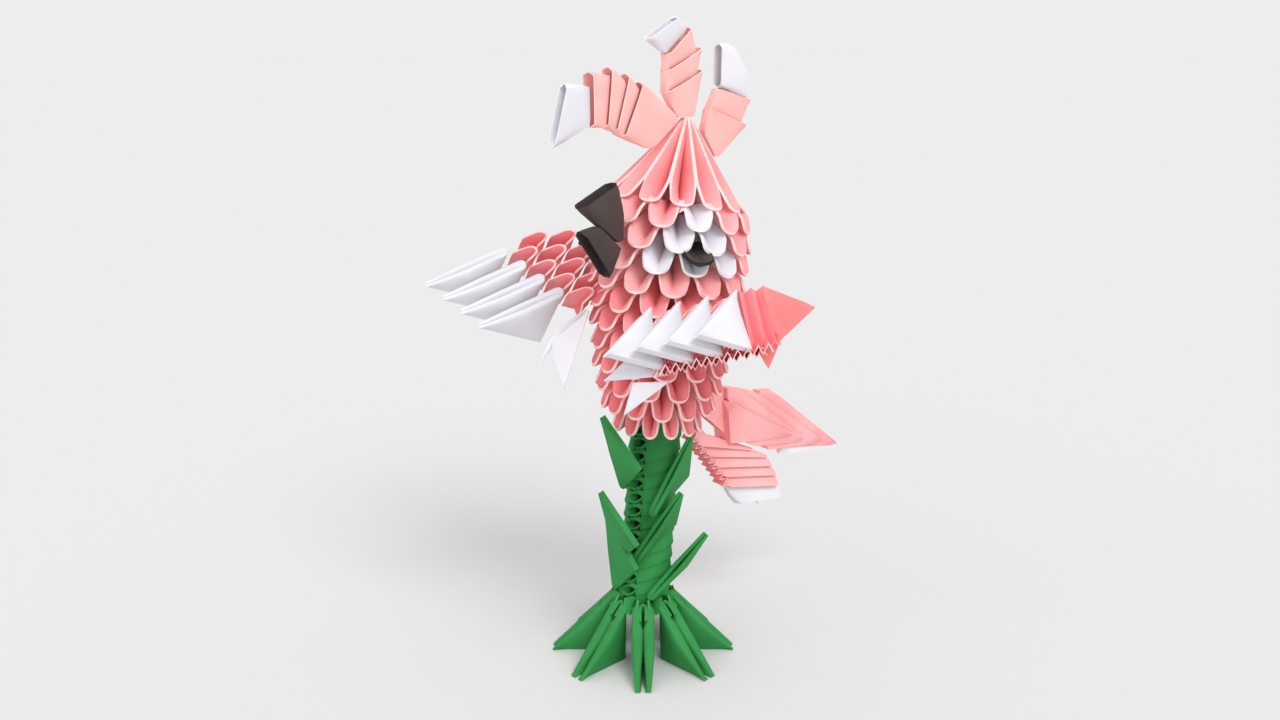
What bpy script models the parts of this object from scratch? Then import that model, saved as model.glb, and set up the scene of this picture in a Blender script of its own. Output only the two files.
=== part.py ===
"""A parrot folded from triangular paper units that are nested into rows.

The bird faces -Y and stands on eight folded feet; +X is its left side and +Z is up.
The origin lies on the ground, at the middle of the ring of feet.
"""

import math

import bpy
import bmesh
from mathutils import Matrix, Vector

MM = 0.001

# The folded unit: a right isosceles triangle whose spine and base are its two short edges.
SPINE = 18.5 * MM
HYPOTENUSE = SPINE * math.sqrt(2)
ALTITUDE = HYPOTENUSE / 2
WALL = 1.1 * MM
CLEARANCE = 0.3 * MM

# The stack of ring rows that makes the body and the head.
ROW_PITCH = 6.15 * MM
STACK_BASE = Vector((0, 5.4, 72)) * MM
HOLE_RADIUS = 8.2 * MM
ROW_GAP = 0.95 * MM
ROW_UNITS = 13
BODY_RADII = [13.5 * MM, 17 * MM, 19 * MM, 20.2 * MM, 21 * MM, 21.8 * MM, 22.4 * MM]
HEAD_RADII = [23 * MM, 23.5 * MM, 23.4 * MM, 22.6 * MM, 20.3 * MM]
ROW_TILTS = [2, 3.2, 4.1, 5, 5.3, 6, 6.2, 6.4, 7, 8, 9, 10]
CROWN_HEIGHT = 20.6 * MM
PEAK_RADIUS = 3.2 * MM
UNIT_STEP = 2 * math.pi / ROW_UNITS
FACE_BEARING = UNIT_STEP / 2
EYE_SPREAD = 2 * UNIT_STEP
ROWS_BELOW_EYES = 8

# The ring of feet and the leg.
FOOT_COUNT = 8
FOOT_RADIUS = 9 * MM
LEG_WIDTH = 15.6 * MM
LEG_DEPTH = 10.5 * MM
LEG_TURN = math.radians(52)
LEG_BANDS = 11
LEG_TOP = 77.2 * MM

# The wings: rows of units laid side by side.
WING_ROWS = 3
WING_UNITS = 5
WING_DEPTH = 8 * MM
WING_UNIT_WIDTH = 6.5 * MM

# The flat stacks of the crest and tail, and the beak.
CREST_THICKNESS = 5 * MM
TAIL_THICKNESS = 6 * MM
BEAK_THICKNESS = 4.6 * MM
BEAK_UPPER = [(41, 139.5), (26.5, 144.4), (23.5, 136.4), (23.9, 127.6)]
BEAK_LOWER = [(40.5, 132.8), (33.5, 133.4), (24.6, 126.4), (29.6, 119.4)]


def make_material(name, colour, roughness):
    material = bpy.data.materials.new(name)
    material.use_nodes = True
    shader = material.node_tree.nodes["Principled BSDF"]
    shader.inputs["Base Color"].default_value = (*colour, 1)
    shader.inputs["Roughness"].default_value = roughness
    shader.inputs["Metallic"].default_value = 0
    material.diffuse_color = (*colour, 1)
    return material


def finish_object(name, mesh_builder, collection, materials):
    """Turn a bmesh into a named object whose faces point outwards."""
    bmesh.ops.recalc_face_normals(mesh_builder, faces=mesh_builder.faces)
    if mesh_builder.calc_volume(signed=True) < 0:
        bmesh.ops.reverse_faces(mesh_builder, faces=mesh_builder.faces)
    mesh = bpy.data.meshes.new(name)
    mesh_builder.to_mesh(mesh)
    mesh_builder.free()
    for material in materials:
        mesh.materials.append(material)
    built = bpy.data.objects.new(name, mesh)
    collection.objects.link(built)
    return built


def bridge(mesh_builder, low, high, material_of=None):
    """Join two runs of (place along the run, vertex) that may differ in number."""
    i = 0
    j = 0
    while i < len(low) - 1 or j < len(high) - 1:
        next_low = low[i + 1][0] if i < len(low) - 1 else math.inf
        next_high = high[j + 1][0] if j < len(high) - 1 else math.inf
        step_low = next_low <= next_high + 1e-6
        step_high = next_high <= next_low + 1e-6
        corners = [low[i][1]]
        if step_low:
            corners.append(low[i + 1][1])
        if step_high:
            corners.append(high[j + 1][1])
        corners.append(high[j][1])
        face = mesh_builder.faces.new(corners)
        if material_of:
            face.material_index = material_of((low[i][0] + high[j][0]) / 2)
        i += step_low
        j += step_high


# Rows of nested units

def row_frames():
    """The frame of each ring row, from the lowest up, and one more above the last."""
    frames = []
    centre = STACK_BASE.copy()
    for tilt in ROW_TILTS + ROW_TILTS[-1:]:
        turn = Matrix.Rotation(-math.radians(tilt), 4, "X")
        frames.append(Matrix.Translation(centre) @ turn)
        centre = centre + turn @ Vector((0, 0, ROW_PITCH))
    return frames


def ring_place(frame, first):
    """Maps (units round the ring, radius, height) into the world."""
    def place(unit, out, up):
        bearing = first + unit * UNIT_STEP
        return frame @ Vector((math.sin(bearing) * out, -math.cos(bearing) * out, up))
    return place


# How far each point of a unit's outline is from the middle of the unit, in half units.
OUTLINE = (-1, -0.8, -0.45, 0, 0.45, 0.8)


def outline_profile(groove, rim, side, middle):
    """Pairs each point of the outline with its (inset, rise)."""
    return list(zip(OUTLINE, (groove, rim, side, middle, side, rim)))


def row_profiles(radius, radius_above, inner):
    """The runs of points that bound a row, from the foot of its keel to the top of its bore.

    Each run says whether it lies in the frame of the row above, and holds
    (place in the unit, radius, height). A keel slopes up and in at 45 degrees.
    """
    lips = outline_profile((1.4, 3.8), (0.4, 1.9), (0, 0.5), (0, 0))
    troughs = outline_profile((1.3, 4.7), (0.1, 2.9), (0.7, 1.9), (1.0, 1.9))
    tucks = outline_profile((2.2, 2.2), (1.8, 1.8), (4.4, 4.4), (4.9, 4.9))
    keel = [(-1, inner, radius - inner)]
    lip = [(f, radius - a * MM, b * MM) for f, (a, b) in lips]
    trough = [(f, radius - a * MM, b * MM) for f, (a, b) in troughs]
    tuck = [(f, radius_above - a * MM, b * MM - ROW_GAP) for f, (a, b) in tucks]
    bore = [(-1, inner, radius_above - inner - ROW_GAP)]
    return [(False, keel), (False, lip), (False, trough), (True, tuck), (True, bore)]


def build_runs(mesh_builder, profiles, place, place_above, count, closed):
    """Makes the vertices of each run; a closed run ends on its first vertex."""
    runs = []
    for above, profile in profiles:
        put = place_above if above else place
        run = []
        for unit in range(count):
            for f, out, up in profile:
                along = unit + f / 2
                run.append((along, mesh_builder.verts.new(put(along, out, up))))
        last = count - 0.5
        if closed:
            run.append((last, run[0][1]))
        else:
            out, up = profile[0][1:]
            run.append((last, mesh_builder.verts.new(put(last, out, up))))
        runs.append(run)
    return runs


def add_ring_row(name, index, frames, first, radius, radius_above, whites, paper, collection):
    """One closed row of the body or head, with its bore open below and above."""
    mesh_builder = bmesh.new()
    place = ring_place(frames[index], first)
    place_above = ring_place(frames[index + 1], first)
    profiles = row_profiles(radius, radius_above, HOLE_RADIUS)
    runs = build_runs(mesh_builder, profiles, place, place_above, ROW_UNITS, True)

    def is_white(along):
        return int(round(along) % ROW_UNITS in whites)

    for low, high in zip(runs, runs[1:] + runs[:1]):
        bridge(mesh_builder, low, high, is_white)
    return finish_object(name, mesh_builder, collection, [paper["pink"], paper["white"]])


def add_crown(name, frame, first, radius, paper, collection):
    """The top row, whose tall petals close to a point over the head."""
    place = ring_place(frame, first)
    lips = row_profiles(radius, radius, HOLE_RADIUS)[:3]
    middle = outline_profile((0.43, 0.455), (0.41, 0.48), (0.45, 0.46), (0.47, 0.455))
    peak = outline_profile((1.01, 0.985), (0.99, 1), (1.02, 0.99), (1.03, 0.985))
    for shape in (middle, peak):
        rise = [(f, radius - a * (radius - PEAK_RADIUS), b * CROWN_HEIGHT) for f, (a, b) in shape]
        lips.append((False, rise))
    mesh_builder = bmesh.new()
    runs = build_runs(mesh_builder, lips, place, place, ROW_UNITS, True)
    for low, high in zip(runs, runs[1:]):
        bridge(mesh_builder, low, high)
    mesh_builder.faces.new([vertex for _, vertex in runs[0][:-1]])
    tip = mesh_builder.verts.new(frame @ Vector((0, 0, CROWN_HEIGHT)))
    top = [vertex for _, vertex in runs[-1]]
    for a, b in zip(top, top[1:]):
        mesh_builder.faces.new((a, b, tip))
    return finish_object(name, mesh_builder, collection, [paper["pink"]])


def over_crown(frame, side, share, lift):
    """A point of the midplane just off the crown's slope, from its waist (0) to its peak (1)."""
    radius = HEAD_RADII[-1]
    waist = Vector((radius - 0.42 * (radius - PEAK_RADIUS), 0.475 * CROWN_HEIGHT))
    peak = Vector((PEAK_RADIUS, CROWN_HEIGHT))
    slope = (peak - waist).normalized()
    out, up = waist.lerp(peak, share) + Vector((slope.y, -slope.x)) * (CLEARANCE + lift)
    return frame @ Vector((0, side * out, up))


# Single folded units

def unit_mesh_builder(middle_gap, tip_gap):
    """A unit with its closed fold at the origin, its tips along +X and its base corner at -Z.

    Its two walls meet in a rounded spine. The walls are thick across Y only, so their
    edges stay straight.
    """
    spine_half = 1.25 * MM
    fold_length = 3.6 * MM
    first_rise = 0.5 * MM

    def section(x, rim_half, depth):
        floor = max(depth - WALL, depth * 0.35)
        outer = [(-rim_half, 0), (-spine_half, -depth), (spine_half, -depth), (rim_half, 0)]
        rim_inner = rim_half - WALL
        floor_half = spine_half - WALL / 2
        inner = [(rim_inner, 0), (floor_half, -floor), (-floor_half, -floor), (-rim_inner, 0)]
        return [builder.verts.new((x, y, z)) for y, z in outer + inner]

    builder = bmesh.new()
    closed_end = section(0, spine_half + 0.3 * MM, first_rise)
    shoulder = section(fold_length, spine_half + 0.3 * MM + middle_gap / 4, fold_length)
    middle = section(ALTITUDE, spine_half + middle_gap / 2, ALTITUDE)
    for low, high in ((closed_end, shoulder), (shoulder, middle)):
        for k in range(8):
            n = (k + 1) % 8
            builder.faces.new((low[k], low[n], high[n], high[k]))
    for ring in (closed_end, middle):
        builder.faces.new((ring[1], ring[2], ring[5], ring[6]))
    builder.faces.new((closed_end[0], closed_end[1], closed_end[6], closed_end[7]))
    builder.faces.new((closed_end[2], closed_end[3], closed_end[4], closed_end[5]))
    for side, rim, spine, spine_in, rim_in in ((-1, 0, 1, 6, 7), (1, 3, 2, 5, 4)):
        outer_tip = builder.verts.new((HYPOTENUSE, side * (tip_gap / 2 + WALL / 2), 0))
        inner_tip = builder.verts.new((HYPOTENUSE, side * tip_gap / 2, 0))
        builder.faces.new((middle[rim], middle[spine], outer_tip))
        builder.faces.new((middle[rim_in], middle[spine_in], inner_tip))
        builder.faces.new((middle[rim], middle[rim_in], inner_tip, outer_tip))
        builder.faces.new((middle[spine], middle[spine_in], inner_tip, outer_tip))
    return builder


def unit_matrix(fold, towards, base_side):
    """Stands a unit at its fold, pointing its tips one way and its base corner another."""
    x_axis = Vector(towards).normalized()
    z_axis = -(Vector(base_side) - x_axis * Vector(base_side).dot(x_axis)).normalized()
    y_axis = z_axis.cross(x_axis)
    turn = Matrix((x_axis, y_axis, z_axis)).transposed().to_4x4()
    return Matrix.Translation(fold) @ turn


def add_unit(name, matrix, mesh_source, gaps, material, collection):
    """A single unit; units of one shape share a mesh."""
    if mesh_source is None:
        built = finish_object(name, unit_mesh_builder(*gaps), collection, [material])
    else:
        built = bpy.data.objects.new(name, mesh_source)
        collection.objects.link(built)
    built.matrix_world = matrix
    return built


# Flat stacks of nested units

def midplane(y, z):
    return Vector((0, y * MM, z * MM))


def add_stack(name, rungs, thickness, lip, material, collection, across=Vector((1, 0, 0))):
    """A column of flat units nested along a line.

    Each rung is a pair of points, at the rim and at the back of one unit. Every unit
    starts with a lip that stands proud of the one before it, on the rim side.
    """
    mesh_builder = bmesh.new()
    loops = []
    for index, (rim, back) in enumerate(rungs):
        width = (rim - back).normalized()
        starts = [0, lip] if 0 < index < len(rungs) - 1 else [0]
        for proud in starts:
            edge = rim + width * proud
            half = thickness / 2 * (1 if proud else 0.86)
            chain = [
                back, back.lerp(edge, 0.12) + across * half * 0.7, back.lerp(edge, 0.5) + across * half,
                back.lerp(edge, 0.88) + across * half * 0.7, edge,
                back.lerp(edge, 0.88) - across * half * 0.7, back.lerp(edge, 0.5) - across * half,
                back.lerp(edge, 0.12) - across * half * 0.7,
            ]
            loops.append([mesh_builder.verts.new(point) for point in chain])
    for low, high in zip(loops, loops[1:]):
        for k in range(8):
            n = (k + 1) % 8
            mesh_builder.faces.new((low[k], low[n], high[n], high[k]))
    for end in (loops[0], loops[-1]):
        mesh_builder.faces.new(end)
    return finish_object(name, mesh_builder, collection, [material])


def add_flat_unit(name, corners, thickness, slot_edge, material, collection, across=Vector((1, 0, 0))):
    """A unit pressed flat: a plate with its two leaves parted by a slot along one edge."""
    centre = sum(corners, Vector()) / len(corners)
    a = corners[slot_edge]
    b = corners[(slot_edge + 1) % len(corners)]
    slot_half = thickness * 0.16
    slot_depth = 1.6 * MM
    mesh_builder = bmesh.new()
    sides = []
    for sign in (1, -1):
        bevelled = [corner.lerp(centre, 0.05) + across * sign * thickness / 2 for corner in corners]
        edge = [corner + across * sign * thickness / 3 for corner in corners]
        made = [[mesh_builder.verts.new(p) for p in outline] for outline in (bevelled, edge)]
        sides.append(made)
    count = len(corners)
    for bevelled, edge in sides:
        mesh_builder.faces.new(bevelled)
        for k in range(count):
            n = (k + 1) % count
            mesh_builder.faces.new((bevelled[k], bevelled[n], edge[n], edge[k]))
    for k in range(count):
        n = (k + 1) % count
        ends = (sides[0][1][k], sides[0][1][n], sides[1][1][n], sides[1][1][k])
        if k != slot_edge:
            mesh_builder.faces.new(ends)
    inward = (centre - (a + b) / 2)
    inward = (inward - (b - a) * inward.dot(b - a) / (b - a).length_squared).normalized()
    mouth = []
    floor = []
    for point in (a.lerp(b, 0.06), a.lerp(b, 0.94)):
        for sign in (1, -1):
            mouth.append(mesh_builder.verts.new(point + across * sign * slot_half))
            deep = point + inward * slot_depth + across * sign * slot_half * 0.4
            floor.append(mesh_builder.verts.new(deep))
    near = (sides[0][1][slot_edge], sides[0][1][(slot_edge + 1) % count])
    far = (sides[1][1][slot_edge], sides[1][1][(slot_edge + 1) % count])
    mesh_builder.faces.new((near[0], near[1], mouth[2], mouth[0]))
    mesh_builder.faces.new((far[0], far[1], mouth[3], mouth[1]))
    mesh_builder.faces.new((near[0], far[0], mouth[1], mouth[0]))
    mesh_builder.faces.new((near[1], far[1], mouth[3], mouth[2]))
    for p, q in ((0, 2), (2, 3), (3, 1), (1, 0)):
        mesh_builder.faces.new((mouth[p], mouth[q], floor[q], floor[p]))
    mesh_builder.faces.new((floor[0], floor[2], floor[3], floor[1]))
    return finish_object(name, mesh_builder, collection, [material])


# The parts of the bird

def add_body_and_head(paper, collection):
    frames = row_frames()
    radii = BODY_RADII + HEAD_RADII
    white_counts = {ROWS_BELOW_EYES: 3, ROWS_BELOW_EYES + 1: 2, ROWS_BELOW_EYES + 2: 1}
    for index, radius in enumerate(radii[:-1]):
        if index < len(BODY_RADII):
            name = f"body_row_{index + 1}"
        else:
            name = f"head_row_{index - len(BODY_RADII) + 1}"
        first = row_start(index)
        whites = white_units(white_counts.get(index, 0), first)
        add_ring_row(name, index, frames, first, radius, radii[index + 1], whites, paper, collection)
    top = len(radii) - 1
    add_crown("crown_row", frames[top], row_start(top), radii[top], paper, collection)
    return frames


def row_start(index):
    """The bearing of a row's first unit; each row is half a unit round from the one below."""
    return FACE_BEARING + UNIT_STEP / 2 * ((index - ROWS_BELOW_EYES) % 2)


def white_units(many, first):
    """The units of a head row that lie nearest to either eye."""
    chosen = set()
    for bearing in (FACE_BEARING + EYE_SPREAD, FACE_BEARING - EYE_SPREAD):
        gaps = [abs(math.remainder(first + k * UNIT_STEP - bearing, 2 * math.pi)) for k in range(ROW_UNITS)]
        chosen.update(sorted(range(ROW_UNITS), key=lambda k: round(gaps[k], 4))[:many])
    return chosen


def add_eyes(frames, paper, collection):
    """A small dark unit set before the trough of a white one on each side of the head."""
    radius = HEAD_RADII[ROWS_BELOW_EYES - len(BODY_RADII)]
    half_width = 4.4 * MM
    base = radius + 0.45 * MM
    lip = base + 1.9 * MM
    stations = ((2.4, 0.35, 0.4), (3.6, 0.9, 0.9), (7.4, 1, 1.3))
    for name, side in (("eye_left", 1), ("eye_right", -1)):
        place = ring_place(frames[ROWS_BELOW_EYES], FACE_BEARING + side * EYE_SPREAD)
        mesh_builder = bmesh.new()
        loops = []
        for up, width, depth in stations:
            span = half_width * width / radius / UNIT_STEP
            floor = lip - depth * MM
            shape = [(-1, base), (-0.85, lip), (-0.5, floor), (0.5, floor), (0.85, lip), (1, base)]
            loops.append([mesh_builder.verts.new(place(f * span, out, up * MM)) for f, out in shape])
        for low, high in zip(loops, loops[1:]):
            for k in range(6):
                n = (k + 1) % 6
                mesh_builder.faces.new((low[k], low[n], high[n], high[k]))
        mesh_builder.faces.new(loops[0])
        mesh_builder.faces.new(loops[-1])
        finish_object(name, mesh_builder, collection, [paper["dark"]])


def add_beak(paper, collection):
    """Two flat units in the plane of the face, each (forward of the neck's axis, up)."""
    forward = Vector((math.sin(FACE_BEARING), -math.cos(FACE_BEARING), 0))
    across = Vector((forward.y, -forward.x, 0))
    neck = Vector((0, 10.6 * MM, 0))

    def in_face(out, up):
        return neck + (forward * out + Vector((0, 0, up))) * MM

    upper = [in_face(*p) for p in BEAK_UPPER]
    lower = [in_face(*p) for p in BEAK_LOWER]
    add_flat_unit("upper_beak", upper, BEAK_THICKNESS, 0, paper["dark"], collection, across)
    add_flat_unit("lower_beak", lower, BEAK_THICKNESS, 3, paper["dark"], collection, across)


def add_crest(crown, paper, collection):
    """Three curled feathers in the midplane, each a pink stack with a white end."""
    front = [((-2.5, 168), (-8, 155.8)), ((-6.9, 170.2), (-10.7, 157.4)),
             ((-12.3, 172), (-13.7, 158.7)), ((-18.4, 173), (-18.2, 159))]
    middle = [((18, 172), (7, 167.2)), ((17.7, 178), (7.2, 173)),
              ((15.5, 184.3), (7.6, 177.4))]
    rear = [((35, 157.5), (23, 162)), ((38, 164), (26.4, 167.4))]
    over_peak = Vector((0, 0, CROWN_HEIGHT + CLEARANCE))
    feet = {
        "crest_front": (over_crown(crown, -1, 0.9, 0), over_crown(crown, -1, 0.1, 0)),
        "crest_middle": (crown @ (over_peak + Vector((0, 1.7 * MM, 0))),
                         crown @ (over_peak - Vector((0, 1.7 * MM, 0)))),
        "crest_rear": (over_crown(crown, 1, 0.1, 0), over_crown(crown, 1, 0.6, 0)),
    }
    for name, rungs in (("crest_front", front), ("crest_middle", middle), ("crest_rear", rear)):
        pairs = [feet[name]]
        pairs += [(midplane(*rim), midplane(*back)) for rim, back in rungs]
        add_stack(name, pairs, CREST_THICKNESS, 2.2 * MM, paper["pink"], collection)
    tips = {
        "crest_front_tip": ((-30.7, 154.2), (-26.2, 170.4), (-18.9, 169.6), (-18.7, 159.4)),
        "crest_middle_tip": ((1, 181.5), (11.4, 187.5), (14.9, 184.4), (7.1, 177.8)),
        "crest_rear_tip": ((27.0, 179.8), (31.4, 179.8), (39.5, 169.8), (37.6, 164.7), (26.8, 167.9)),
    }
    slots = {"crest_front_tip": 0, "crest_middle_tip": 0, "crest_rear_tip": 4}
    for name, outline in tips.items():
        corners = [midplane(*p) for p in outline]
        add_flat_unit(name, corners, CREST_THICKNESS * 0.8, slots[name], paper["white"], collection)


def make_envelope(frames, collection):
    """A cutter that clears the body and head, so that what leans on them ends at their surface."""
    mesh_builder = bmesh.new()
    sides = 32
    swell = 1 / math.cos(math.pi / sides)
    radii = BODY_RADII + HEAD_RADII
    loops = []
    rim_height = 3.2 * MM
    for frame, radius in zip(frames, radii):
        reach = (radius + CLEARANCE) * swell
        for up in (0, rim_height):
            ring = []
            for k in range(sides):
                angle = 2 * math.pi * k / sides
                spot = frame @ Vector((math.cos(angle) * reach, math.sin(angle) * reach, up))
                ring.append(mesh_builder.verts.new(spot))
            loops.append(ring)
    for low, high in zip(loops, loops[1:]):
        for k in range(sides):
            n = (k + 1) % sides
            mesh_builder.faces.new((low[k], low[n], high[n], high[k]))
    mesh_builder.faces.new(loops[0])
    mesh_builder.faces.new(loops[-1])
    envelope = finish_object("body_envelope", mesh_builder, collection, [])
    envelope.hide_render = True
    envelope.display_type = "WIRE"
    return envelope


def add_wing(side, fold, tips, along, roll, stagger, rows_to_body, gaps, envelope, paper, collection):
    """Five white units, and the rows of pink ones that carry them.

    fold is the middle white unit's closed fold, tips the way its tips point and along
    the way to the next unit, towards the bird's breast.
    """
    tips = Vector(tips).normalized()
    along = (Vector(along) - tips * Vector(along).dot(tips)).normalized()
    top = tips.cross(along)
    if top.z < 0:
        top = -top
    lateral = (along * math.cos(roll) + top * math.sin(roll)).normalized()
    base_side = tips.cross(lateral)
    if base_side.z > 0:
        base_side = -base_side
    spacing = along * WING_UNIT_WIDTH + tips * stagger
    middle_unit = (WING_UNITS - 1) / 2
    mesh = None
    for k in range(WING_UNITS):
        at = Vector(fold) + spacing * (k - middle_unit)
        built = add_unit(f"wing_{side}_feather_{k + 1}", unit_matrix(at, tips, base_side),
                         mesh, gaps, paper["white"], collection)
        mesh = built.data
    for row in range(1, rows_to_body + 1):
        strip = add_wing_row(f"wing_{side}_row_{row}", row, Vector(fold), spacing, middle_unit,
                             tips, top, paper, collection)
        if row > 1:
            trim = strip.modifiers.new("trim", "BOOLEAN")
            trim.operation = "DIFFERENCE"
            trim.solver = "MANIFOLD"
            trim.object = envelope


def add_wing_row(name, row, fold, spacing, middle_unit, tips, top, paper, collection):
    """A strip of pink units behind the white ones, cut along the same sloping keels."""
    shift = 0.5 * (row % 2)
    count = WING_UNITS - (row % 2)
    origin = fold - tips * (ROW_PITCH * row)

    def place(unit, out, up):
        across = spacing * (unit + shift - middle_unit)
        return origin + across + top * (out - WING_DEPTH) + tips * up

    def place_above(unit, out, up):
        return place(unit, out, up + ROW_PITCH)

    mesh_builder = bmesh.new()
    profiles = row_profiles(WING_DEPTH, WING_DEPTH, WING_DEPTH * 0.2)
    runs = build_runs(mesh_builder, profiles, place, place_above, count, False)
    for low, high in zip(runs, runs[1:] + runs[:1]):
        bridge(mesh_builder, low, high)
    mesh_builder.faces.new([run[0][1] for run in runs])
    mesh_builder.faces.new([run[-1][1] for run in runs])
    return finish_object(name, mesh_builder, collection, [paper["pink"]])


def add_tail(paper, collection):
    """An upper stack whose bands slant, and a lower stack that ends in white."""
    upper = [((23.1, 81.5), (21.3, 71.6)), ((31.5, 78), (31.5, 62.8)), ((36.5, 77.5), (60, 58.6)),
             ((43.5, 76), (67.5, 54)), ((50.5, 75), (75.5, 51.2)), ((54.5, 73.5), (82.6, 48.5))]
    lower = [((19.6, 66), (16.6, 73.3)), ((42, 55.8), (18.9, 62.0)), ((48.5, 52), (23.5, 57.6)),
             ((50.5, 48.6), (26.5, 53.4)), ((52.5, 45), (29.5, 49.6)), ((54.5, 41), (31.5, 45.8))]
    for name, rungs in (("tail_upper", upper), ("tail_lower", lower)):
        pairs = [(midplane(*rim), midplane(*back)) for rim, back in rungs]
        add_stack(name, pairs, TAIL_THICKNESS, 1.2 * MM, paper["pink"], collection)
    tip = [midplane(*p) for p in ((32.2, 45.2), (54.9, 40.6), (57, 36.4), (37, 38.6))]
    add_flat_unit("tail_lower_tip", tip, TAIL_THICKNESS * 0.7, 2, paper["white"], collection)


def add_leg(paper, collection):
    """A column of flat green units, nested one in another, on a round socket."""
    wide = Vector((math.cos(LEG_TURN), math.sin(LEG_TURN), 0))
    deep = Vector((-wide.y, wide.x, 0))
    socket_radius = FOOT_RADIUS - CLEARANCE
    socket_top = SPINE * 0.8
    mesh_builder = bmesh.new()
    loops = []
    points = 12
    levels = [(0, 1, 1, 0), (socket_top, 1, 1, 0)]
    rise = (LEG_TOP - socket_top) / LEG_BANDS
    for band in range(LEG_BANDS):
        start = socket_top + band * rise
        levels.append((start + 0.35 * MM, 0, 1, band))
        levels.append((start + rise, 0, 0.86 if band < LEG_BANDS - 1 else 0.95, band))
    for height, is_socket, scale, band in levels:
        lean = STACK_BASE.y * max(0, (height - socket_top) / (LEG_TOP - socket_top))
        centre = Vector((0, lean, height))
        tilt = 0 if is_socket or height == LEG_TOP else 1.1 * MM
        ring = []
        for k in range(points):
            angle = 2 * math.pi * k / points
            half_wide = socket_radius if is_socket else LEG_WIDTH / 2 * scale
            half_deep = socket_radius if is_socket else LEG_DEPTH / 2 * scale
            rim = wide * math.cos(angle) * half_wide + deep * math.sin(angle) * half_deep
            ring.append(mesh_builder.verts.new(centre + rim + Vector((0, 0, tilt * math.cos(angle)))))
        loops.append(ring)
    for low, high in zip(loops, loops[1:]):
        for k in range(points):
            n = (k + 1) % points
            mesh_builder.faces.new((low[k], low[n], high[n], high[k]))
    mesh_builder.faces.new(loops[0])
    mesh_builder.faces.new(loops[-1])
    finish_object("leg_stem", mesh_builder, collection, [paper["green"]])


def add_leaves(paper, collection):
    """Single units whose points stand off the leg.

    Each is placed by its closed fold, its tip and the way to its base corner, in
    millimetres across the leg, out from its front and up.
    """
    wide = Vector((math.cos(LEG_TURN), math.sin(LEG_TURN), 0))
    front = Vector((wide.y, -wide.x, 0))

    def from_leg(across, out, up):
        return (wide * across + front * out + Vector((0, 0, up))) * MM

    places = {
        "leaf_right_1": ((2.2, 7.8, 46.6), (12.9, 5.6, 68.2), (0.7, -0.7, -0.3)),
        "leaf_right_2": ((-3.0, 8, 31.8), (11.4, 8.6, 54.4), (1, -0.2, -0.3)),
        "leaf_right_3": ((1.6, 8, 20), (16.9, 5.2, 37.6), (0.75, -0.65, -0.3)),
        "leaf_left_1": ((-5.7, 1.4, 51), (-12, 10, 74), (0.56, 0.83, 0)),
        "leaf_left_2": ((-7.5, 2.6, 26), (-13, 13, 47), (0.56, 0.83, 0)),
    }
    mesh = None
    for name, (fold, tip, base) in places.items():
        towards = from_leg(*tip) - from_leg(*fold)
        matrix = unit_matrix(from_leg(*fold), towards, from_leg(*base))
        built = add_unit(name, matrix, mesh, (0.9 * MM, 0.6 * MM), paper["green"], collection)
        mesh = built.data


def add_feet(paper, collection):
    """Units that stand on their bases round the leg, tips outwards."""
    mesh = None
    for k in range(FOOT_COUNT):
        bearing = LEG_TURN + 2 * math.pi * k / FOOT_COUNT
        outward = Vector((math.sin(bearing), -math.cos(bearing), 0))
        fold = outward * FOOT_RADIUS + Vector((0, 0, SPINE))
        towards = outward - Vector((0, 0, 1))
        built = add_unit(f"foot_{k + 1}", unit_matrix(fold, towards, (0, 0, -1)), mesh,
                         (4.6 * MM, 3.4 * MM), paper["green"], collection)
        mesh = built.data


def build():
    for existing in list(bpy.data.objects):
        bpy.data.objects.remove(existing, do_unlink=True)
    parts = bpy.data.collections.new("origami_parrot")
    bpy.context.scene.collection.children.link(parts)
    paper = {
        "pink": make_material("pink_paper", (0.96, 0.42, 0.40), 0.6),
        "white": make_material("white_paper", (0.9, 0.9, 0.91), 0.6),
        "dark": make_material("dark_paper", (0.06, 0.045, 0.04), 0.55),
        "green": make_material("green_paper", (0.06, 0.36, 0.11), 0.6),
    }
    cutters = bpy.data.collections.new("cutters")
    bpy.context.scene.collection.children.link(cutters)
    frames = add_body_and_head(paper, parts)
    envelope = make_envelope(frames, cutters)
    add_eyes(frames, paper, parts)
    add_beak(paper, parts)
    add_crest(frames[len(BODY_RADII) + len(HEAD_RADII) - 1], paper, parts)
    add_wing("right", Vector((-20.8, -20.2, 115.5)) * MM, (-0.565, -0.72, -0.40), (0.676, -0.125, -0.724),
             math.radians(50), -3.85 * MM, WING_ROWS, (1.6 * MM, 1.2 * MM), envelope, paper, parts)
    add_wing("left", Vector((29.9, -3.6, 115.1)) * MM, (0.481, -0.853, -0.206), (-0.88, -0.47, -0.07),
             math.radians(-40), 4.1 * MM, WING_ROWS, (1.6 * MM, 1.2 * MM), envelope, paper, parts)
    add_tail(paper, parts)
    add_leg(paper, parts)
    add_leaves(paper, parts)
    add_feet(paper, parts)


build()
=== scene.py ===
"""The looks of the paper parrot: every folded unit as a thin sheet, its rims in an edge tone
lighter than the faces, a painted highlight (the dark paper's rims are darker instead).
"""

import math

import bmesh
import bpy
from mathutils import Matrix, Vector


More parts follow.
